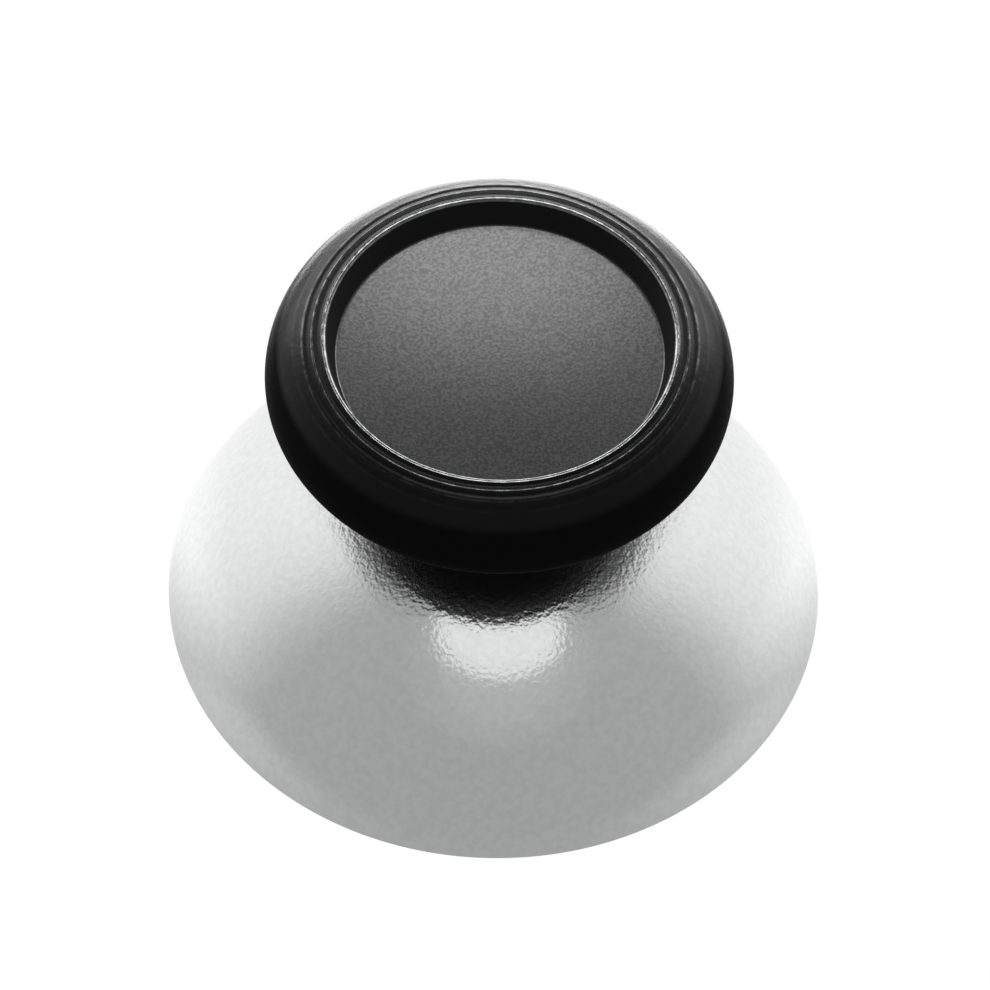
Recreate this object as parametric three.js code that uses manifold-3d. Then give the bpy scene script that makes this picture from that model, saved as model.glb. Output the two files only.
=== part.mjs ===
// Thumb grip for a hand-held controller's stick: a black turned head on a silver domed skirt.
// Millimetres, +Z up. The origin is the centre of the dome's foot, which stands on z = 0.

import * as THREE from 'three';
import { mergeVertices } from 'three/addons/utils/BufferGeometryUtils.js';
import Module from 'manifold-3d';

// Whole object

const overallHeight = 16;
const roundSides = 64;

// Domed skirt: a spherical cap of even wall, open below

const domeRadius = 12.5;
const domeHeight = 8.1;
const domeWall = 1.05;
const footEdgeBreak = 0.06;
const domeArcSteps = 11;

// Hub under the dome's crown, which grips the stick of the controller

const hubRadius = 3.2;
const hubRecess = 3;
const hubFillet = 0.7;
const hubEdgeBreak = 0.15;
const filletSteps = 3;

// Keyed socket in the hub: a round bore with two flats

const socketRadius = 2;
const socketAcrossFlats = 3;
const socketDepth = 4.4;
const socketLeadIn = 0.3;
const socketArcSteps = 8;

// Spigot on top of the dome, which holds the head

const spigotRadius = 2.2;
const spigotHeight = 4.2;
const spigotEdgeBreak = 0.3;
const spigotClearance = 0.1;
const spigotTopClearance = 0.3;

// Head: neck, underside and brow

const neckRadius = 3.7;
const neckFillet = 1.2;
const headRadius = 8.75;
const crownDrop = 2.4;
const shoulderRadius = 1.35;
const undersideSlope = THREE.MathUtils.degToRad(20);
const shoulderSteps = 4;
const browSteps = 5;

// Thumb recess in the head: a wall with a broken lip around a dished floor

const recessRadius = 6.5;
const recessDepth = 1.08;
const recessDraft = 0.35;
const dishDepth = 0.43;
const dishArcSteps = 6;
const lipWidth = 0.14;
const lipDrop = 0.06;

// Fine grooves turned into the crown around the recess

const grooveCount = 4;
const groovePitch = 0.37;
const grooveWidth = 0.24;
const grooveDepth = 0.06;

// Places worked out from the sizes above. The dome's sphere is widest where the foot's broken edge begins.

const capRise = domeHeight - footEdgeBreak;
const sphereRadius = (domeRadius ** 2 + capRise ** 2) / (2 * capRise);
const sphereCentre = domeHeight - sphereRadius;
const innerRadius = sphereRadius - domeWall;
const seatHeight = sphereCentre + Math.sqrt(sphereRadius ** 2 - neckRadius ** 2);
const spigotTop = seatHeight + spigotHeight;
const headBoreRadius = spigotRadius + spigotClearance;
const headBoreTop = spigotTop + spigotTopClearance;
const widestHeight = overallHeight - crownDrop;
const crownRadius = headRadius - recessRadius;
const floorEdge = overallHeight - recessDepth;
const floorRadius = recessRadius - recessDraft;

const point = (radius, height) => new THREE.Vector2(radius, height);

// Points on a circle arc in the profile plane, both ends included.
function arc(centreRadius, centreHeight, radius, from, to, steps) {
  return Array.from({ length: steps + 1 }, (_, i) => {
    const angle = from + (to - from) * i / steps;
    return point(centreRadius + radius * Math.cos(angle), centreHeight + radius * Math.sin(angle));
  });
}

// Turns a profile that starts and ends on the axis into one closed geometry about Z.
function turned(profile) {
  return new THREE.LatheGeometry(profile, roundSides).rotateX(Math.PI / 2);
}

// Drops triangles that have shrunk to a line on the axis.
function fullTriangles(index) {
  const kept = [];
  for (let i = 0; i < index.length; i += 3) {
    const [a, b, c] = [index[i], index[i + 1], index[i + 2]];
    if (a !== b && b !== c && c !== a) kept.push(a, b, c);
  }
  return new Uint32Array(kept);
}

const wasm = await Module();
wasm.setup();

// A closed geometry as a solid, with shared vertices merged.
function solid(geometry) {
  const bare = geometry.clone();
  bare.deleteAttribute('normal');
  bare.deleteAttribute('uv');
  const merged = mergeVertices(bare, 1e-5);
  return new wasm.Manifold(new wasm.Mesh({
    numProp: 3,
    vertProperties: new Float32Array(merged.attributes.position.array),
    triVerts: fullTriangles(merged.index.array),
  }));
}

// A solid as a geometry for a mesh.
function geometryOf(body) {
  const { vertProperties, triVerts } = body.getMesh();
  const geometry = new THREE.BufferGeometry();
  geometry.setAttribute('position', new THREE.BufferAttribute(vertProperties, 3));
  geometry.setIndex(new THREE.BufferAttribute(triVerts, 1));
  geometry.computeVertexNormals();
  return geometry;
}

// Height of the crown at a radius: a quarter ellipse from the level lip out to the upright widest edge.
function crownHeight(radius) {
  const out = (radius - recessRadius) / crownRadius;
  return widestHeight + crownDrop * Math.sqrt(Math.max(0, 1 - out * out));
}

// The crown from the widest edge in to the lip, with its grooves.
function crownProfile() {
  const grooves = [];
  for (let i = grooveCount; i >= 1; i -= 1) {
    const middle = recessRadius + lipWidth + groovePitch * (i - 0.5);
    const outer = middle + grooveWidth / 2;
    const inner = middle - grooveWidth / 2;
    grooves.push(point(outer, crownHeight(outer)));
    grooves.push(point(middle, crownHeight(middle) - grooveDepth));
    grooves.push(point(inner, crownHeight(inner)));
  }
  const groovedOut = (grooves[0].x - recessRadius) / crownRadius;
  const browEnd = Math.acos(Math.min(1, groovedOut));
  const brow = Array.from({ length: browSteps }, (_, i) => {
    const angle = browEnd * i / browSteps;
    return point(recessRadius + crownRadius * Math.cos(angle), widestHeight + crownDrop * Math.sin(angle));
  });
  const lipOuter = recessRadius + lipWidth;
  return [...brow, ...grooves, point(lipOuter, overallHeight), point(recessRadius, overallHeight - lipDrop)];
}

// The dished floor of the thumb recess, from its edge in to the axis.
function dishProfile() {
  const dishRadius = (floorRadius ** 2 + dishDepth ** 2) / (2 * dishDepth);
  const dishCentre = floorEdge - dishDepth + dishRadius;
  const edge = -Math.acos(floorRadius / dishRadius);
  const bowl = arc(0, dishCentre, dishRadius, edge, -Math.PI / 2, dishArcSteps);
  return [...bowl.slice(0, -1), point(0, floorEdge - dishDepth)];
}

// The head's underside: a straight cone between the neck's fillet and the round shoulder.
function undersideProfile() {
  const shoulderCentre = headRadius - shoulderRadius;
  const coneEndRadius = shoulderCentre + shoulderRadius * Math.sin(undersideSlope);
  const coneEndHeight = widestHeight - shoulderRadius * Math.cos(undersideSlope);
  const filletCentre = neckRadius + neckFillet;
  const coneStartRadius = filletCentre - neckFillet * Math.sin(undersideSlope);
  const coneFall = (coneEndRadius - coneStartRadius) * Math.tan(undersideSlope);
  const filletHeight = coneEndHeight - coneFall - neckFillet * Math.cos(undersideSlope);
  const coneAngle = Math.PI / 2 + undersideSlope;
  const shoulder = arc(shoulderCentre, widestHeight, shoulderRadius, undersideSlope - Math.PI / 2, 0, shoulderSteps);
  return [
    ...arc(filletCentre, filletHeight, neckFillet, Math.PI, coneAngle, shoulderSteps),
    ...shoulder.slice(0, -1),
  ];
}

// Black head: dished thumb recess, grooved crown, underside and neck, bored from below for the spigot.
function headGeometry() {
  return turned([
    point(0, headBoreTop),
    point(headBoreRadius, headBoreTop),
    point(headBoreRadius, seatHeight),
    point(neckRadius, seatHeight),
    ...undersideProfile(),
    ...crownProfile(),
    ...dishProfile(),
  ]);
}

// The dome's outer face from its foot up to the seat, with a broken edge at the foot.
function domeOuterProfile() {
  const from = Math.asin((footEdgeBreak - sphereCentre) / sphereRadius);
  const to = Math.acos(neckRadius / sphereRadius);
  return [
    point(domeRadius - footEdgeBreak, 0),
    ...arc(0, sphereCentre, sphereRadius, from, to, domeArcSteps),
  ];
}

// The dome's inner face from the hub's fillet down to the foot.
function domeInnerProfile() {
  const filletRadius = hubRadius + hubFillet;
  const filletHeight = sphereCentre + Math.sqrt((innerRadius - hubFillet) ** 2 - filletRadius ** 2);
  const filletAngle = Math.atan2(filletHeight - sphereCentre, filletRadius);
  const foot = Math.asin(-sphereCentre / innerRadius);
  const face = arc(0, sphereCentre, innerRadius, filletAngle, foot, domeArcSteps);
  return [
    ...arc(filletRadius, filletHeight, hubFillet, Math.PI, filletAngle, filletSteps).slice(0, -1),
    ...face,
  ];
}

// Round bore with two flats, cut upwards from below the hub's end.
function socketTool() {
  const flat = socketAcrossFlats / 2;
  const half = Math.asin(Math.min(1, flat / socketRadius));
  const outline = new THREE.Shape([
    ...arc(0, 0, socketRadius, -half, half, socketArcSteps),
    ...arc(0, 0, socketRadius, Math.PI - half, Math.PI + half, socketArcSteps),
  ]);
  const bore = new THREE.ExtrudeGeometry(outline, {
    depth: socketDepth + hubRecess,
    bevelEnabled: false,
  });
  const leadIn = turned([
    point(0, hubRecess - socketLeadIn),
    point(socketRadius + 2 * socketLeadIn, hubRecess - socketLeadIn),
    point(socketRadius, hubRecess + socketLeadIn),
    point(0, hubRecess + socketLeadIn),
  ]);
  return solid(bore).add(solid(leadIn));
}

// Silver dome with its hub below and its spigot above, all one turned piece.
function domeGeometry() {
  const blank = turned([
    point(0, hubRecess),
    point(hubRadius - hubEdgeBreak, hubRecess),
    point(hubRadius, hubRecess + hubEdgeBreak),
    ...domeInnerProfile(),
    ...domeOuterProfile(),
    point(spigotRadius, seatHeight),
    point(spigotRadius, spigotTop - spigotEdgeBreak),
    point(spigotRadius - spigotEdgeBreak, spigotTop),
    point(0, spigotTop),
  ]);
  return geometryOf(solid(blank).subtract(socketTool()));
}

const blackMetal = new THREE.MeshStandardMaterial({ color: 0x17171a, roughness: 0.5, metalness: 0.3 });
const silverMetal = new THREE.MeshStandardMaterial({ color: 0xc6c8ca, roughness: 0.35, metalness: 0.9 });

function named(name, geometry, material) {
  const mesh = new THREE.Mesh(geometry, material);
  mesh.name = name;
  return mesh;
}

const thumbGrip = new THREE.Group();
thumbGrip.add(
  named('grip_head', headGeometry(), blackMetal),
  named('dome_skirt', domeGeometry(), silverMetal),
);

export default thumbGrip;
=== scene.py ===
"""Looks of a controller thumb grip: a black turned head on a blasted silver dome.

Every shape is a surface of revolution worked out with numpy from a profile of radii and heights,
in metres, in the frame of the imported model: +Z up, the dome's foot on z = 0.
"""

import logging
import math
from dataclasses import dataclass, field
from enum import Enum
from typing import Any, Union

import bpy
import numpy as np
from mathutils import Matrix, Vector


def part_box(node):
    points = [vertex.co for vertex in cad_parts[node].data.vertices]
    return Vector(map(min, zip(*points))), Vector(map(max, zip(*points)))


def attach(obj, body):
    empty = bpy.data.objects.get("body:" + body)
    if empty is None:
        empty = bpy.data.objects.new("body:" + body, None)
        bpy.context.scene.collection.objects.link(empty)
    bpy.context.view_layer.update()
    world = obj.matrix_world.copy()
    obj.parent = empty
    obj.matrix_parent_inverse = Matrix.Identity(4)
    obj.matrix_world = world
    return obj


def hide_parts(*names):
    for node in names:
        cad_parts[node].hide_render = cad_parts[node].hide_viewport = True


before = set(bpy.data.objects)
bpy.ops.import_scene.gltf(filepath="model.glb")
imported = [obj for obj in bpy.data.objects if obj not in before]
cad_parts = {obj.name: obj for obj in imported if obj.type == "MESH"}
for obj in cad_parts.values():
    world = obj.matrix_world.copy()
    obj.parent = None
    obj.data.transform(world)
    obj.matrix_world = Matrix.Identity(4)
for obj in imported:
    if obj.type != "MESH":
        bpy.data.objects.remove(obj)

LOG = logging.getLogger("thumb_grip")
MM = 0.001
IMAGE_SIDE_PX = 990
SENSOR_WIDTH_MM = 36.0
TINY = 1e-6
WHITE = (1.0, 1.0, 1.0)

# The studio's level by direction over the level plane: 0 is the front, 0.5 either side and 1 the back.
STUDIO_LEVELS = (
    (0.0, 0.40),
    (0.375, 0.43),
    (0.46, 0.53),
    (0.53, 0.64),
    (0.60, 0.78),
    (0.70, 0.89),
    (0.80, 0.96),
    (1.0, 1.02),
)

# A colour is linear red, green and blue, and a span is where a smooth step starts and ends.
Colour = tuple[float, float, float]
Span = tuple[float, float]
Points = np.ndarray
Feed = Union["Value", bpy.types.NodeSocket, float, Colour]


class Ray(Enum):
    """Kinds of ray that see a background at its full colour, by their Light Path output."""

    CAMERA = "Is Camera Ray"
    GLOSSY = "Is Glossy Ray"
    TRANSMISSION = "Is Transmission Ray"


class Value:
    """A number that varies over a surface: one output socket, with Math nodes behind its operators."""

    def __init__(self, graph: "Graph", socket: bpy.types.NodeSocket) -> None:
        """Wraps an output socket of a graph.

        Args:
            graph: The graph that the socket belongs to.
            socket: The output socket.
        """
        self.graph = graph
        self.socket = socket

    def __add__(self, other: Feed) -> "Value":
        """Self plus other."""
        return self.graph.math("ADD", self, other)

    def __sub__(self, other: Feed) -> "Value":
        """Self minus other."""
        return self.graph.math("SUBTRACT", self, other)

    def __mul__(self, other: Feed) -> "Value":
        """Self times other."""
        return self.graph.math("MULTIPLY", self, other)

    def __truediv__(self, other: Feed) -> "Value":
        """Self divided by other."""
        return self.graph.math("DIVIDE", self, other)

    def __radd__(self, other: Feed) -> "Value":
        """Other plus self."""
        return self.graph.math("ADD", other, self)

    def __rsub__(self, other: Feed) -> "Value":
        """Other minus self."""
        return self.graph.math("SUBTRACT", other, self)

    def __rmul__(self, other: Feed) -> "Value":
        """Other times self."""
        return self.graph.math("MULTIPLY", other, self)

    def __rtruediv__(self, other: Feed) -> "Value":
        """Other divided by self."""
        return self.graph.math("DIVIDE", other, self)


class Graph:
    """A node tree while it is being wired."""

    def __init__(self, tree: bpy.types.NodeTree) -> None:
        """Empties a node tree and takes it over.

        Args:
            tree: The node tree of a material or of the world.
        """
        self.tree = tree
        tree.nodes.clear()

    def node(self, kind: str, settings: dict[str, Any] | None = None,
             inputs: dict[Any, Feed] | None = None) -> bpy.types.Node:
        """Adds one node.

        Args:
            kind: The node's type, such as ShaderNodeTexNoise.
            settings: Its properties, set first; "stops" holds a ramp's stops.
            inputs: A value or a link for each named or numbered input socket.

        Returns:
            The node.
        """
        made = self.tree.nodes.new(kind)
        for name, setting in (settings or {}).items():
            if name == "stops":
                self._set_stops(made.color_ramp, setting)
            else:
                setattr(made, name, setting)
        for name, feed in (inputs or {}).items():
            self.feed(made.inputs[name], feed)
        return made

    @staticmethod
    def _set_stops(ramp: bpy.types.ColorRamp, stops: tuple[tuple[float, float], ...]) -> None:
        """Gives a ramp its grey stops.

        Args:
            ramp: The ramp.
            stops: A position and a level for each stop.
        """
        while len(ramp.elements) < len(stops):
            ramp.elements.new(1.0)
        for element, (position, level) in zip(ramp.elements, stops):
            element.position = position
            element.color = (level, level, level, 1.0)

    def feed(self, target: bpy.types.NodeSocket, feed: Feed) -> None:
        """Links a value or a socket to an input, or writes a constant on it.

        Args:
            target: The input socket.
            feed: What goes into it.
        """
        if isinstance(feed, Value):
            self.tree.links.new(feed.socket, target)
        elif isinstance(feed, bpy.types.NodeSocket):
            self.tree.links.new(feed, target)
        elif isinstance(feed, tuple) and target.type == "RGBA":
            target.default_value = (*feed, 1.0)
        else:
            target.default_value = feed

    def math(self, operation: str, *operands: Feed) -> Value:
        """Adds a Math node.

        Args:
            operation: Its operation, such as POWER.
            *operands: One to three values.

        Returns:
            The result.
        """
        made = self.node("ShaderNodeMath", {"operation": operation}, dict(enumerate(operands)))
        return Value(self, made.outputs[0])

    def smooth(self, value: Feed, low: float, high: float) -> Value:
        """A smooth step from 0 below low to 1 above high; low above high turns it round.

        Args:
            value: What is stepped.
            low: Where the step starts.
            high: Where it ends.

        Returns:
            The step, from 0 to 1.
        """
        made = self.node(
            "ShaderNodeMapRange",
            {"interpolation_type": "SMOOTHSTEP"},
            {"Value": value, "From Min": low, "From Max": high},
        )
        return Value(self, made.outputs["Result"])

    def blend(self, factor: Feed, first: Feed, second: Feed) -> bpy.types.NodeSocket:
        """Mixes two colours: all first at factor 0, all second at factor 1."""
        made = self.node("ShaderNodeMix", {"data_type": "RGBA"}, {0: factor, 6: first, 7: second})
        return made.outputs[2]

    def noise(self, size: float, detail: float = 2.0, roughness: float = 0.5) -> Value:
        """A noise of object coordinates with lumps of about one size.

        Args:
            size: The size of a lump, in metres.
            detail: How many finer layers it has.
            roughness: How strong each finer layer is.

        Returns:
            The noise, from 0 to 1.
        """
        made = self.node(
            "ShaderNodeTexNoise",
            None,
            {"Vector": self.place(), "Scale": 1.0 / size, "Detail": detail, "Roughness": roughness},
        )
        return Value(self, made.outputs["Fac"])

    def facing(self) -> Value:
        """How far the surface turns away from the viewing ray: 0 straight on, 1 edge on."""
        made = self.node("ShaderNodeLayerWeight", None, {"Blend": 0.5})
        return Value(self, made.outputs["Facing"])

    def place(self) -> bpy.types.NodeSocket:
        """The object coordinates of the shaded point."""
        return self.node("ShaderNodeTexCoord").outputs["Object"]

    def around(self) -> tuple[Value, Value]:
        """The shaded point's place round the Z axis.

        Returns:
            Its radius from the axis and its height.
        """
        parts = self.node("ShaderNodeSeparateXYZ", None, {0: self.place()})
        across = Value(self, parts.outputs["X"])
        deep = Value(self, parts.outputs["Y"])
        return self.math("SQRT", across * across + deep * deep), Value(self, parts.outputs["Z"])

    def bump(self, height: Value, depth: float, under: Feed | None = None) -> bpy.types.NodeSocket:
        """Bends the surface's normal by a height from 0 to 1.

        Args:
            height: The height over the surface.
            depth: What a height of 1 stands for, in metres.
            under: The normal of a bump below this one, if there is one.

        Returns:
            The bent normal.
        """
        inputs: dict[Any, Feed] = {"Height": height, "Distance": depth, "Strength": 1.0}
        if under is not None:
            inputs["Normal"] = under
        return self.node("ShaderNodeBump", None, inputs).outputs["Normal"]

    def mix(self, factor: Feed, first: Feed, second: Feed) -> bpy.types.NodeSocket:
        """Mixes two shaders: all first at factor 0, all second at factor 1."""
        return self.node("ShaderNodeMixShader", None, {0: factor, 1: first, 2: second}).outputs[0]

    def output(self, shader: bpy.types.NodeSocket, kind: str = "ShaderNodeOutputMaterial") -> None:
        """Ends the graph in its output node."""
        self.node(kind, None, {"Surface": shader})


def new_material(name: str) -> tuple[bpy.types.Material, Graph]:
    """Makes an empty node material.

    Args:
        name: Its name.

    Returns:
        The material and its graph.
    """
    material = bpy.data.materials.new(name)
    material.use_nodes = True
    return material, Graph(material.node_tree)


@dataclass(frozen=True)
class BlastedSilver:
    """Silver metal under fine glass beads: an even sheen that breaks into grains in a lamp's image.

    The grain is coarser round the neck and finer towards the foot.
    """

    colour: Colour = (0.885, 0.89, 0.895)
    cloud_colour: Colour = (0.805, 0.81, 0.815)
    roughness: float = 0.14
    roughness_spread: float = 0.04
    grain_size: float = 0.18 * MM
    grain_depth: float = 0.0085 * MM
    fine_share: float = 0.45
    coarse_radius: float = 6.8 * MM
    fine_radius: float = 9.6 * MM
    cloud_size: float = 3.2 * MM
    mottle_size: float = 0.30 * MM
    mottle_span: Span = (0.3, 0.7)
    mottle_share: float = 0.7

    def material(self) -> bpy.types.Material:
        """Wires the finish.

        Returns:
            The material.
        """
        material, graph = new_material("blasted_silver")
        radius, _ = graph.around()
        cloud = graph.noise(self.cloud_size)
        mottle = graph.smooth(graph.noise(self.mottle_size), *self.mottle_span)
        tone = cloud * (1.0 - self.mottle_share) + mottle * self.mottle_share
        grain = graph.noise(self.grain_size, detail=1.0)
        near = graph.smooth(radius, self.fine_radius, self.coarse_radius)
        share = self.fine_share + (1.0 - self.fine_share) * near
        surface = graph.node("ShaderNodeBsdfPrincipled", None, {
            "Base Color": graph.blend(tone, self.cloud_colour, self.colour),
            "Metallic": 1.0,
            "Roughness": self.roughness + self.roughness_spread * (cloud - 0.5),
            "Normal": graph.bump(grain * share, self.grain_depth),
        })
        graph.output(surface.outputs[0])
        return material


@dataclass(frozen=True)
class BlackAnodised:
    """Black anodised metal: satin in the thumb recess, glossy on the crown, matt black below.

    The recess floor is speckled by two satin coats, mixed by its grain. The crown's gloss falls where it
    is seen edge on. The coating is worn off the lip and, in beads, off the crests between the grooves.
    """

    floor_radius: float
    floor_bottom: float
    lip_radius: float
    lip_top: float
    band_start: float
    groove_pitch: float
    crown_height: float
    satin_colour: Colour = (0.004, 0.004, 0.0044)
    speckle_colour: Colour = (0.016, 0.016, 0.0165)
    deep_colour: Colour = (0.003, 0.003, 0.0033)
    matt_colour: Colour = (0.0062, 0.0062, 0.0065)
    # Painted fill light: the recess wall is coloured lighter than the matt black below, so the shade inside
    # the recess shows lighter.
    wall_painted_fill_colour: Colour = (0.020, 0.020, 0.0205)
    bare_colour: Colour = (0.80, 0.81, 0.82)
    satin_ior: float = 1.64
    speckle_ior: float = 1.86
    crown_ior: float = 1.25
    matt_ior: float = 1.05
    satin_roughness: float = 0.29
    crown_roughness: float = 0.32
    matt_roughness: float = 0.6
    bare_roughness: float = 0.20
    grain_size: float = 0.115 * MM
    grain_depth: float = 0.004 * MM
    speckle_span: Span = (0.35, 0.65)
    bead_size: float = 0.30 * MM
    bead_depth: float = 0.010 * MM
    edge: float = 0.05 * MM
    fade: float = 0.35 * MM
    grazing_span: Span = (0.42, 0.76)
    grazing_share: float = 0.7
    wear_size: float = 0.42 * MM
    wear_span: Span = (0.40, 0.60)
    lip_fall: Span = (0.14 * MM, 0.10 * MM)
    lip_inside: Span = (0.04 * MM, 0.01 * MM)
    lip_outside: float = 0.05 * MM
    lip_share: float = 0.28
    lip_least: float = 0.55
    crest_span: Span = (0.55, 0.95)
    crest_inside: Span = (0.04 * MM, 0.08 * MM)
    crest_end: float = 7.9 * MM
    crest_share: float = 0.10
    crest_least: float = 0.4

    def material(self) -> bpy.types.Material:
        """Wires the finish.

        Returns:
            The material.
        """
        material, graph = new_material("black_anodised")
        radius, height = graph.around()
        above = graph.smooth(height, self.floor_bottom - 2 * self.edge, self.floor_bottom - self.edge)
        floor = above * graph.smooth(radius, self.floor_radius, self.floor_radius - self.edge)
        outside = graph.smooth(radius, self.lip_radius - self.edge, self.lip_radius - self.edge / 3)
        grazing = graph.smooth(graph.facing(), *self.grazing_span)
        gloss = 1.0 - self.grazing_share * grazing
        crown = outside * gloss * graph.smooth(height, self.crown_height - self.fade, self.crown_height)
        grain = graph.noise(self.grain_size, roughness=0.6)
        bead = graph.noise(self.bead_size, detail=1.0)
        grained = graph.bump(grain * floor, self.grain_depth)
        normal = graph.bump(bead * (1.0 - floor), self.bead_depth, grained)

        def coat(colour: Feed, roughness: float, ior: float) -> bpy.types.NodeSocket:
            """One coat of the finish, from its colour, its roughness and its index of refraction."""
            return graph.node("ShaderNodeBsdfPrincipled", None, {
                "Base Color": colour,
                "Roughness": roughness,
                "IOR": ior,
                "Normal": normal,
            }).outputs[0]

        # Painted fill light: the recess wall, inside the lip and above the floor, takes the lighter wall
        # colour, which lifts the shade in the recess.
        wall = above * (1.0 - outside)
        matt = coat(graph.blend(wall, self.matt_colour, self.wall_painted_fill_colour), self.matt_roughness, self.matt_ior)
        glossy = coat(self.deep_colour, self.crown_roughness, self.crown_ior)
        satin = graph.mix(
            graph.smooth(grain, *self.speckle_span),
            coat(self.satin_colour, self.satin_roughness, self.satin_ior),
            coat(self.speckle_colour, self.satin_roughness, self.speckle_ior),
        )
        bare = graph.node("ShaderNodeBsdfPrincipled", None, {
            "Base Color": self.bare_colour,
            "Metallic": 1.0,
            "Roughness": self.bare_roughness,
            "Normal": normal,
        }).outputs[0]
        coated = graph.mix(floor, graph.mix(crown, matt, glossy), satin)
        graph.output(graph.mix(self.worn(graph, radius, height), coated, bare))
        return material

    def worn(self, graph: Graph, radius: Value, height: Value) -> Value:
        """Share of bare metal: high on the lip, and in beads along each crest, less on the outer ones.

        A crest is where the cosine of the turns of the grooves, counted from the band's start, is near 1.

        Args:
            graph: The material's graph.
            radius: The shaded point's radius.
            height: Its height.

        Returns:
            The share, from 0 to 1.
        """
        beads = graph.smooth(graph.noise(self.wear_size), *self.wear_span)
        top = [self.lip_top - step for step in self.lip_fall]
        inner = [self.lip_radius - step for step in self.lip_inside]
        begin = [self.band_start + step for step in self.crest_inside]
        lip = graph.smooth(height, *top) * graph.smooth(radius, *inner)
        lip = lip * graph.smooth(radius, self.band_start + self.lip_outside, self.band_start)
        lip = lip * self.lip_share * (self.lip_least + (1.0 - self.lip_least) * beads)
        turns = (radius - self.band_start) / self.groove_pitch
        crest = graph.smooth(graph.math("COSINE", turns * (2.0 * math.pi)), *self.crest_span)
        crest = crest * graph.smooth(radius, self.crest_end, self.band_start) * graph.smooth(radius, *begin)
        crest = crest * (self.crest_least + beads) * self.crest_share
        return graph.math("MAXIMUM", lip, crest)


@dataclass(frozen=True)
class PaleSweep:
    """A pale table top that is white to the camera, still takes a soft shadow, and is mirrored by the metal.

    The metal sees it white behind the grip and dimmer towards the front, where the dim side of the
    studio shows in it.
    """

    colour: Colour = (0.85, 0.85, 0.85)
    white_share: float = 0.9
    white_level: float = 1.08
    near_gain: float = 0.46
    near_radius: float = 15 * MM
    near_front: Span = (-0.05, 0.30)
    near_back: Span = (0.85, 0.50)

    def material(self) -> bpy.types.Material:
        """Wires the finish.

        The mirrored level follows the studio's levels over the table. It rises near the grip's foot, most
        at the sides, and the rise dies away as one over the distance.

        Returns:
            The material.
        """
        material, graph = new_material("pale_sweep")
        radius, _ = graph.around()
        parts = graph.node("ShaderNodeSeparateXYZ", None, {0: graph.place()})
        turn = 0.5 + 0.5 * (Value(graph, parts.outputs["Y"]) / radius)
        ramp = graph.node("ShaderNodeValToRGB", {"stops": STUDIO_LEVELS}, {"Fac": turn})
        close = graph.math("MINIMUM", self.near_radius / radius, 1.0)
        near = close * graph.smooth(turn, *self.near_front) * graph.smooth(turn, *self.near_back)
        mirrored = Value(graph, ramp.outputs["Color"]) * (1.0 + self.near_gain * near)
        path = graph.node("ShaderNodeLightPath")
        camera, glossy, through = (Value(graph, path.outputs[ray.value]) for ray in Ray)
        direct = graph.math("MINIMUM", camera * self.white_share + glossy + through, 1.0)
        level = mirrored + camera * (self.white_level - mirrored)
        matt = graph.node("ShaderNodeBsdfDiffuse", None, {"Color": self.colour})
        glow = graph.node("ShaderNodeEmission", None, {"Color": WHITE, "Strength": level})
        graph.output(graph.mix(direct, matt.outputs[0], glow.outputs[0]))
        return material


def line(start: tuple[float, float], end: tuple[float, float], count: int) -> Points:
    """Points at even steps on a straight line, both ends included."""
    return np.linspace(start, end, count)


def arc(centre: tuple[float, float], radii: tuple[float, float], start: float, end: float,
        count: int) -> Points:
    """Points on an ellipse's arc in the plane of radius and height.

    Each point is the centre plus the radii times the cosine and sine of an angle that runs at even
    steps from start to end.

    Args:
        centre: Radius and height of the middle.
        radii: Half widths across and up.
        start: First angle, in radians from the outward direction, counted upwards.
        end: Last angle.
        count: Number of points.

    Returns:
        An array of count rows.
    """
    angle = np.linspace(start, end, count)
    return np.stack([centre[0] + radii[0] * np.cos(angle), centre[1] + radii[1] * np.sin(angle)], axis=1)


def eased(before: tuple[float, float], corner: tuple[float, float], after: tuple[float, float],
          size: float, count: int = 6) -> Points:
    """A corner between two straight lines, eased into a parabola.

    The curve leaves the first line size before the corner and joins the second line size after it:
    (1 - t)^2 of the first point, 2 t (1 - t) of the corner and t^2 of the last point.

    Args:
        before: A point on the first line.
        corner: Where the lines meet.
        after: A point on the second line.
        size: How far from the corner the curve starts and ends, in metres.
        count: Number of points.

    Returns:
        An array of count rows.
    """
    origin, first, last = (np.asarray(p, dtype=float) for p in (corner, before, after))
    leave = origin + (first - origin) * size / np.linalg.norm(first - origin)
    join = origin + (last - origin) * size / np.linalg.norm(last - origin)
    t = np.linspace(0.0, 1.0, count)[:, None]
    return (1 - t) ** 2 * leave + 2 * t * (1 - t) * origin + t ** 2 * join


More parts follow.
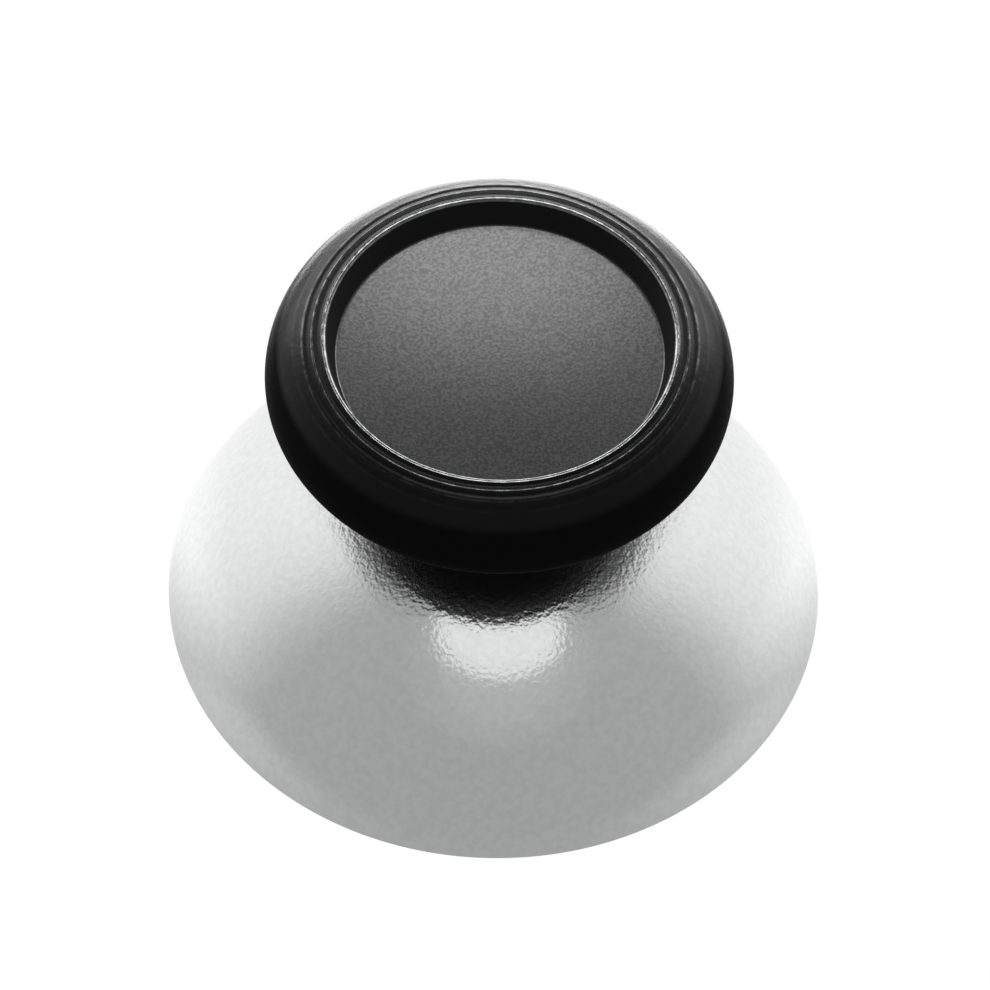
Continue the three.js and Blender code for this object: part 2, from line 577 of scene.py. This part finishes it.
def revolve(name: str, radius: np.ndarray, height: np.ndarray, sides: int) -> bpy.types.Object:
    """Turns a profile about Z into one closed mesh.

    Row i of the profile gives a ring of points at radius times (cos, sin) of the angle; the first and
    the last row lie on the axis and become one point each, with a fan of triangles.

    Args:
        name: Name of the new object.
        radius: One radius for each row, or one for each row and side, in metres.
        height: One height for each row, in metres.
        sides: Number of steps round the axis.

    Returns:
        The object, smooth shaded, linked to the scene.
    """
    angle = np.arange(sides) * (2.0 * np.pi / sides)
    rows = len(height)
    rings = np.broadcast_to(radius[:, None] if radius.ndim == 1 else radius, (rows, sides))[1:-1]
    level = np.broadcast_to(height[1:-1, None], rings.shape)
    points = np.stack([rings * np.cos(angle), rings * np.sin(angle), level], axis=2).reshape(-1, 3)
    ends = np.array([[0.0, 0.0, height[0]], [0.0, 0.0, height[-1]]])
    points = np.concatenate([points, ends])
    side = np.arange(sides)
    following = (side + 1) % sides
    start = (np.arange(rows - 3) * sides)[:, None]
    end = start + sides
    quads = np.stack([start + side, start + following, end + following, end + side], axis=2)
    first = len(points) - 2
    top = (rows - 3) * sides
    opening = np.stack([np.full(sides, first), following, side], axis=1)
    closing = np.stack([np.full(sides, first + 1), top + side, top + following], axis=1)
    mesh = bpy.data.meshes.new(name)
    mesh.from_pydata(points.tolist(), [], quads.reshape(-1, 4).tolist() + opening.tolist() + closing.tolist())
    mesh.polygons.foreach_set("use_smooth", np.ones(len(mesh.polygons), dtype=bool))
    mesh.update()
    made = bpy.data.objects.new(name, mesh)
    bpy.context.collection.objects.link(made)
    return made


def place(piece: bpy.types.Object, node: str, material: bpy.types.Material) -> None:
    """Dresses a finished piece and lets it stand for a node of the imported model.

    Args:
        piece: The new object.
        node: The node that it stands for.
        material: Its finish.
    """
    piece.data.materials.append(material)
    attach(piece, "root")
    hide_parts(node)
    LOG.info("%s: %d faces", piece.name, len(piece.data.polygons))


@dataclass
class DomeSkirt:
    """The silver dome with its hub and keyed socket below and its spigot above."""

    node: str = "dome_skirt"
    height: float = 8.1 * MM
    wall: float = 1.05 * MM
    edge: float = 0.06 * MM
    hub_radius: float = 3.2 * MM
    hub_end: float = 3.0 * MM
    hub_fillet: float = 0.7 * MM
    socket_radius: float = 2.0 * MM
    socket_flat: float = 1.5 * MM
    socket_depth: float = 4.4 * MM
    lead_in: float = 0.3 * MM
    neck_radius: float = 3.7 * MM
    spigot_radius: float = 2.2 * MM
    spigot_edge: float = 0.3 * MM
    lead_in_start: float = 0.1
    fillet_points: int = 12
    inner_points: int = 48
    outer_points: int = 96
    sides: int = 320
    finish: BlastedSilver = field(default_factory=BlastedSilver)

    def __post_init__(self) -> None:
        """Works out the two spheres; the outer one is widest where the foot's broken edge begins."""
        _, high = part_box(self.node)
        self.spigot_top = high[2]
        self.foot_radius = high[0]
        rise = self.height - self.edge
        self.outer = (self.foot_radius ** 2 + rise ** 2) / (2.0 * rise)
        self.centre = self.height - self.outer
        self.inner = self.outer - self.wall
        self.seat = self.centre + math.sqrt(self.outer ** 2 - self.neck_radius ** 2)

    def socket_wall(self) -> np.ndarray:
        """Radius of the socket's wall: the bore's radius, cut short where a flat is nearer.

        Returns:
            One radius for each side.
        """
        angle = np.arange(self.sides) * (2.0 * np.pi / self.sides)
        flat = self.socket_flat / np.maximum(np.abs(np.sin(angle)), TINY)
        return np.minimum(self.socket_radius, flat)

    def inside(self) -> Points:
        """Profile from the lead-in of the socket round the hub's end to the dome's foot.

        Returns:
            Its points, in order.
        """
        start = (self.socket_radius + self.lead_in, self.hub_end)
        hub_foot = (self.hub_radius, self.hub_end)
        fillet_middle = self.hub_radius + self.hub_fillet
        rise = math.sqrt((self.inner - self.hub_fillet) ** 2 - fillet_middle ** 2)
        fillet_height = self.centre + rise
        turn = math.atan2(rise, fillet_middle)
        foot_angle = math.asin(-self.centre / self.inner)
        foot_inner = (math.sqrt(self.inner ** 2 - self.centre ** 2), 0.0)
        ring = (self.foot_radius, 0.0)
        return np.concatenate([
            eased((self.socket_radius, self.hub_end + self.lead_in), start, hub_foot, self.edge),
            eased(start, hub_foot, (self.hub_radius, fillet_height), 2 * self.edge),
            arc((fillet_middle, fillet_height), (self.hub_fillet, self.hub_fillet), math.pi, turn,
                self.fillet_points),
            arc((0.0, self.centre), (self.inner, self.inner), turn, foot_angle, self.inner_points)[1:-1],
            eased((foot_inner[0], self.hub_end), foot_inner, ring, self.edge),
        ])

    def outside(self) -> Points:
        """Profile from the foot's outer edge over the dome to the top of the spigot.

        Returns:
            Its points, in order.
        """
        start = math.asin((self.edge - self.centre) / self.outer)
        end = math.acos(self.neck_radius / self.outer)
        face = arc((0.0, self.centre), (self.outer, self.outer), start, end, self.outer_points)
        foot = (float(face[0, 0]), 0.0)
        seat_edge = (self.neck_radius, self.seat)
        root = (self.spigot_radius, self.seat)
        shoulder = (self.spigot_radius, self.spigot_top - self.spigot_edge)
        crown = (self.spigot_radius - self.spigot_edge, self.spigot_top)
        return np.concatenate([
            eased((foot[0] - self.wall, 0.0), foot, tuple(face[2]), self.edge),
            face[3:-1],
            eased(tuple(face[-4]), seat_edge, root, self.edge / 2),
            np.array([root, shoulder, crown, (0.0, self.spigot_top)]),
        ])

    def build(self) -> bpy.types.Object:
        """Makes the whole dome as one closed surface.

        The socket's rows take their radius from socket_wall, side by side; all other rows are round.

        Returns:
            The dressed piece.
        """
        ceiling = self.hub_end + self.socket_depth
        step = self.hub_end + self.lead_in
        round_part = np.concatenate([self.inside(), self.outside()])
        wall = self.socket_wall()
        lip = np.full(self.sides, self.socket_radius)
        ease = self.edge / 2
        bore = [
            (wall * 0.0, ceiling),
            (wall - ease, ceiling),
            (wall, ceiling - ease),
            (wall, step + 2 * ease),
            (wall + (lip - wall) * self.lead_in_start, step + ease),
            (lip + ease, step),
        ]
        radius = np.concatenate([
            np.stack([ring for ring, _ in bore]),
            np.repeat(round_part[:, :1], self.sides, axis=1),
        ])
        height = np.concatenate([np.array([level for _, level in bore]), round_part[:, 1]])
        piece = revolve("dome_shell", radius, height, self.sides)
        place(piece, self.node, self.finish.material())
        return piece


@dataclass
class GripHead:
    """The black head: thumb recess, grooved crown, brow, underside and neck."""

    seat: float
    node: str = "grip_head"
    neck_radius: float = 3.7 * MM
    neck_fillet: float = 1.2 * MM
    bore_radius: float = 2.3 * MM
    bore_depth: float = 4.5 * MM
    crown_drop: float = 2.4 * MM
    shoulder_radius: float = 1.35 * MM
    underside_slope: float = math.radians(20.0)
    recess_radius: float = 6.5 * MM
    recess_depth: float = 1.08 * MM
    recess_draft: float = 0.35 * MM
    dish_depth: float = 0.43 * MM
    lip_width: float = 0.14 * MM
    groove_count: int = 4
    groove_pitch: float = 0.37 * MM
    groove_depth: float = 0.06 * MM
    groove_fall: float = 1.5
    gloss_start: float = 0.70
    edge: float = 0.09 * MM
    lip_edge: float = 0.13 * MM
    fillet_points: int = 16
    cone_points: int = 12
    shoulder_points: int = 28
    brow_points: int = 30
    groove_steps: int = 24
    lip_points: int = 11
    corner_points: int = 8
    dish_points: int = 40
    sides: int = 320

    def __post_init__(self) -> None:
        """Takes the head's radius and its top from the node's box."""
        _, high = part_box(self.node)
        self.radius = high[0]
        self.top = high[2]
        self.widest = self.top - self.crown_drop
        self.floor = self.top - self.recess_depth

    def crown(self, radius: np.ndarray) -> np.ndarray:
        """Height of the crown: a quarter ellipse from the level lip out to the upright widest edge.

        Inside the grooved band a raised cosine of the groove's pitch is taken off it. Its depth is the
        groove's depth times a power of the share of the band that is still to come, so the outer
        grooves are the shallowest.

        Args:
            radius: Radii between the lip and the widest edge.

        Returns:
            One height for each radius.
        """
        out = (radius - self.recess_radius) / (self.radius - self.recess_radius)
        smooth = self.widest + self.crown_drop * np.sqrt(np.maximum(0.0, 1.0 - out * out))
        turns = (radius - self.recess_radius - self.lip_width) / self.groove_pitch
        grooved = (turns > 0) & (turns < self.groove_count)
        wave = 0.5 - 0.5 * np.cos(2.0 * np.pi * turns)
        left = np.clip(1.0 - turns / self.groove_count, 0.0, 1.0)
        return smooth - self.groove_depth * left ** self.groove_fall * wave * grooved

    def below(self) -> Points:
        """Profile from the bore's top out under the neck and up to the widest edge.

        Returns:
            Its points, in order.
        """
        bore_top = self.seat + self.bore_depth
        foot = (self.neck_radius, self.seat)
        slope = self.underside_slope
        shoulder = self.radius - self.shoulder_radius
        cone_end = np.array([
            shoulder + self.shoulder_radius * math.sin(slope),
            self.widest - self.shoulder_radius * math.cos(slope),
        ])
        fillet = self.neck_radius + self.neck_fillet
        cone_start_radius = fillet - self.neck_fillet * math.sin(slope)
        fall = (cone_end[0] - cone_start_radius) * math.tan(slope)
        fillet_height = cone_end[1] - fall - self.neck_fillet * math.cos(slope)
        neck_top = (self.neck_radius, fillet_height)
        cone_start = (cone_start_radius, cone_end[1] - fall)
        return np.concatenate([
            np.array([(0.0, bore_top), (self.bore_radius, bore_top), (self.bore_radius, self.seat)]),
            eased((self.bore_radius, self.seat), foot, neck_top, self.edge),
            arc((fillet, fillet_height), (self.neck_fillet, self.neck_fillet), math.pi, math.pi / 2 + slope,
                self.fillet_points),
            line(cone_start, tuple(cone_end), self.cone_points)[1:-1],
            arc((shoulder, self.widest), (self.shoulder_radius, self.shoulder_radius),
                slope - math.pi / 2, 0.0, self.shoulder_points)[:-1],
        ])

    def above(self) -> Points:
        """Profile from the widest edge over the crown and its lip into the recess.

        Returns:
            Its points, in order.
        """
        band_start = self.recess_radius + self.lip_width
        band_end = band_start + self.groove_count * self.groove_pitch
        reach = self.radius - self.recess_radius
        end = math.acos((band_end - self.recess_radius) / reach)
        brow = arc((self.recess_radius, self.widest), (reach, self.crown_drop), 0.0, end, self.brow_points)
        radii = np.linspace(band_end, band_start, self.groove_steps * self.groove_count + 1)
        band = np.stack([radii, self.crown(radii)], axis=1)
        lip = (self.recess_radius, self.top)
        corner = (self.recess_radius - self.recess_draft, self.floor)
        dish = (corner[0] ** 2 + self.dish_depth ** 2) / (2.0 * self.dish_depth)
        middle = self.floor - self.dish_depth + dish
        bowl = arc((0.0, middle), (dish, dish), -math.acos(corner[0] / dish), -math.pi / 2, self.dish_points)
        bowl[-1, 0] = 0.0
        return np.concatenate([
            brow[:-1],
            band,
            eased(tuple(band[-1]), lip, corner, self.lip_edge, self.lip_points),
            eased(lip, corner, tuple(bowl[1]), self.edge, self.corner_points),
            bowl[1:],
        ])

    def build(self) -> bpy.types.Object:
        """Makes the head as one closed surface.

        Returns:
            The dressed piece.
        """
        profile = np.concatenate([self.below(), self.above()])
        finish = BlackAnodised(
            floor_radius=self.recess_radius - self.recess_draft,
            floor_bottom=self.floor - self.dish_depth,
            lip_radius=self.recess_radius,
            lip_top=self.top,
            band_start=self.recess_radius + self.lip_width,
            groove_pitch=self.groove_pitch,
            crown_height=self.widest + self.gloss_start * self.crown_drop,
        )
        piece = revolve("head_shell", profile[:, 0], profile[:, 1], self.sides)
        place(piece, self.node, finish.material())
        return piece


class Facing(Enum):
    """Ways that a lamp shines, as its turn about X."""

    DOWN = 0.0
    FORWARD = -math.pi / 2
    UP = math.pi


class Shape(Enum):
    """Outlines of a lamp, as Blender names them."""

    ELLIPSE = "ELLIPSE"
    RECTANGLE = "RECTANGLE"


@dataclass(frozen=True)
class Lamp:
    """A soft lamp that lights only the pieces that it is given, with its place and size in millimetres."""

    name: str
    shape: Shape
    facing: Facing
    centre_mm: tuple[float, float, float]
    size_mm: tuple[float, float]
    level: float

    def build(self, lit: tuple[bpy.types.Object, ...]) -> bpy.types.Object:
        """Hangs the lamp; its power gives the stated level as radiance: level times pi times its area.

        Args:
            lit: The pieces that it lights.

        Returns:
            The lamp's object.
        """
        width, length = (side * MM for side in self.size_mm)
        share = math.pi / 4 if self.shape is Shape.ELLIPSE else 1.0
        data = bpy.data.lights.new(self.name, "AREA")
        data.shape = self.shape.value
        data.size = width
        data.size_y = length
        data.energy = self.level * math.pi * share * width * length
        lamp = bpy.data.objects.new(self.name, data)
        lamp.location = [step * MM for step in self.centre_mm]
        lamp.rotation_euler.x = self.facing.value
        lamp.visible_camera = False
        bpy.context.collection.objects.link(lamp)
        receivers = bpy.data.collections.new(f"{self.name}_lights")
        for piece in lit:
            receivers.objects.link(piece)
        lamp.light_linking.receiver_collection = receivers
        return lamp


# The dome and the table top take a round soft box over the front, whose image is the dome's highlight,
# and two fainter and wider ones that fade out round it.
DOME_LAMPS = (
    Lamp("front_box", Shape.ELLIPSE, Facing.DOWN, (11, -97, 215), (172, 135), 0.47),
    Lamp("front_haze", Shape.ELLIPSE, Facing.DOWN, (16, -160, 215), (190, 240), 0.075),
    Lamp("wide_haze", Shape.ELLIPSE, Facing.DOWN, (20, -190, 215), (300, 340), 0.035),
)

# The head takes a small box above, mirrored by its dished floor, pale walls behind and at both sides that
# its crown mirrors, and a narrow bright card on the table, mirrored by the far edge of the crown.
HEAD_LAMPS = (
    Lamp("back_box", Shape.RECTANGLE, Facing.DOWN, (3, 55, 135), (48, 58), 5.3),
    Lamp("back_wall", Shape.RECTANGLE, Facing.FORWARD, (0, 300, 60), (250, 118), 5.5),
    Lamp("left_wall", Shape.RECTANGLE, Facing.FORWARD, (-200, 230, 150), (200, 260), 3.5),
    Lamp("right_wall", Shape.RECTANGLE, Facing.FORWARD, (200, 230, 150), (200, 260), 3.5),
    Lamp("back_card", Shape.RECTANGLE, Facing.UP, (0, 150, 0.5), (44, 270), 12.0),
)


@dataclass
class Studio:
    """Camera, lamps, surroundings and table top."""

    elevation: float = math.radians(53.56)
    roll: float = math.radians(1.59)
    distance: float = 347.2 * MM
    centre: Vector = field(default_factory=lambda: Vector((0.0, 0.0, 7.94 * MM)))
    centre_px: tuple[float, float] = (496.9, 466.7)
    pixels_per_mm: float = 26.471
    near_clip: float = 10 * MM
    sweep_half: float = 600 * MM
    ceiling_level: float = 0.05
    ceiling_middle: tuple[float, float] = (0.01, 0.45)
    ceiling_half: tuple[float, float] = (0.69, 0.67)
    ceiling_power: float = 3.0
    ceiling_edge: Span = (1.25, 0.75)
    ceiling_rise: Span = (0.2, 0.5)
    sweep: PaleSweep = field(default_factory=PaleSweep)

    def camera(self) -> None:
        """Sets the camera where the photograph was taken from.

        It is aimed so that the object's centre falls on its own pixel of the frame.
        """
        back = Vector((0.0, -math.cos(self.elevation), math.sin(self.elevation)))
        level_up = Vector((0.0, math.sin(self.elevation), math.cos(self.elevation)))
        right = Vector((1.0, 0.0, 0.0)) * math.cos(self.roll) + level_up * math.sin(self.roll)
        up = level_up * math.cos(self.roll) - Vector((1.0, 0.0, 0.0)) * math.sin(self.roll)
        stand = self.centre + back * self.distance
        half = IMAGE_SIDE_PX / 2
        step = MM / self.pixels_per_mm
        aim = self.centre - right * (self.centre_px[0] - half) * step - up * (half - self.centre_px[1]) * step
        axis = (stand - aim).normalized()
        across = up.cross(axis).normalized()
        turned = Matrix((across, axis.cross(across), axis)).transposed().to_4x4()
        data = bpy.data.cameras.new("camera")
        data.sensor_width = SENSOR_WIDTH_MM
        data.lens = SENSOR_WIDTH_MM * self.pixels_per_mm * (self.distance / MM) / IMAGE_SIDE_PX
        data.clip_start = self.near_clip
        data.dof.use_dof = False
        camera = bpy.data.objects.new("camera", data)
        camera.matrix_world = Matrix.Translation(stand) @ turned
        bpy.context.collection.objects.link(camera)
        bpy.context.scene.camera = camera

    def surroundings(self) -> None:
        """A studio that is bright behind the grip and dim in front of it, under a dark ceiling.

        The level depends on how far a direction points to the back, over the level plane. The ceiling
        is a dark panel above and behind the grip, a rounded oblong with soft edges: a direction meets it
        where its steps aside and along from the panel's middle, in half widths of the panel and each
        raised to the panel's power, add up to about one or less. The camera sees the studio white.
        """
        world = bpy.data.worlds.new("studio")
        world.use_nodes = True
        bpy.context.scene.world = world
        graph = Graph(world.node_tree)
        direction = graph.node("ShaderNodeTexCoord").outputs["Generated"]
        parts = graph.node("ShaderNodeSeparateXYZ", None, {0: direction})
        across = Value(graph, parts.outputs["X"])
        deep = Value(graph, parts.outputs["Y"])
        plan = graph.math("SQRT", across * across + deep * deep + TINY)
        ramp = graph.node("ShaderNodeValToRGB", {"stops": STUDIO_LEVELS}, {"Fac": 0.5 + 0.5 * (deep / plan)})
        aside = graph.math("ABSOLUTE", (across - self.ceiling_middle[0]) / self.ceiling_half[0])
        along = graph.math("ABSOLUTE", (deep - self.ceiling_middle[1]) / self.ceiling_half[1])
        out = graph.math("POWER", aside, self.ceiling_power) + graph.math("POWER", along, self.ceiling_power)
        raised = graph.smooth(Value(graph, parts.outputs["Z"]), *self.ceiling_rise)
        high = graph.smooth(out, *self.ceiling_edge) * raised
        ceiling = (self.ceiling_level, self.ceiling_level, self.ceiling_level)
        path = graph.node("ShaderNodeLightPath")
        colour = graph.blend(high, ramp.outputs["Color"], ceiling)
        seen = graph.blend(path.outputs[Ray.CAMERA.value], colour, WHITE)
        sky = graph.node("ShaderNodeBackground", None, {"Color": seen, "Strength": 1.0})
        graph.output(sky.outputs[0], "ShaderNodeOutputWorld")

    def lamps(self, dome: bpy.types.Object, head: bpy.types.Object, top: bpy.types.Object) -> None:
        """Hangs the dome's lamps and the head's lamps.

        Args:
            dome: The silver dome.
            head: The black head.
            top: The table top.
        """
        for lamp in DOME_LAMPS:
            lamp.build((dome, top))
        for lamp in HEAD_LAMPS:
            lamp.build((head,))

    def table(self) -> bpy.types.Object:
        """A wide flat table top under the foot.

        Returns:
            The table top.
        """
        half = self.sweep_half
        mesh = bpy.data.meshes.new("table_top")
        corners = [(-half, -half, 0.0), (half, -half, 0.0), (half, half, 0.0), (-half, half, 0.0)]
        mesh.from_pydata(corners, [], [(0, 1, 2, 3)])
        top = bpy.data.objects.new("table_top", mesh)
        top.data.materials.append(self.sweep.material())
        bpy.context.collection.objects.link(top)
        return top


def main() -> None:
    """Builds the grip and its studio."""
    logging.basicConfig(level=logging.INFO, format="%(name)s: %(message)s")
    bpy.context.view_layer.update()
    studio = Studio()
    studio.camera()
    dome = DomeSkirt()
    dome_piece = dome.build()
    head_piece = GripHead(seat=dome.seat).build()
    studio.surroundings()
    studio.lamps(dome_piece, head_piece, studio.table())
    view = bpy.context.scene.view_settings
    view.view_transform = "Standard"


if __name__ == "__main__":
    main()
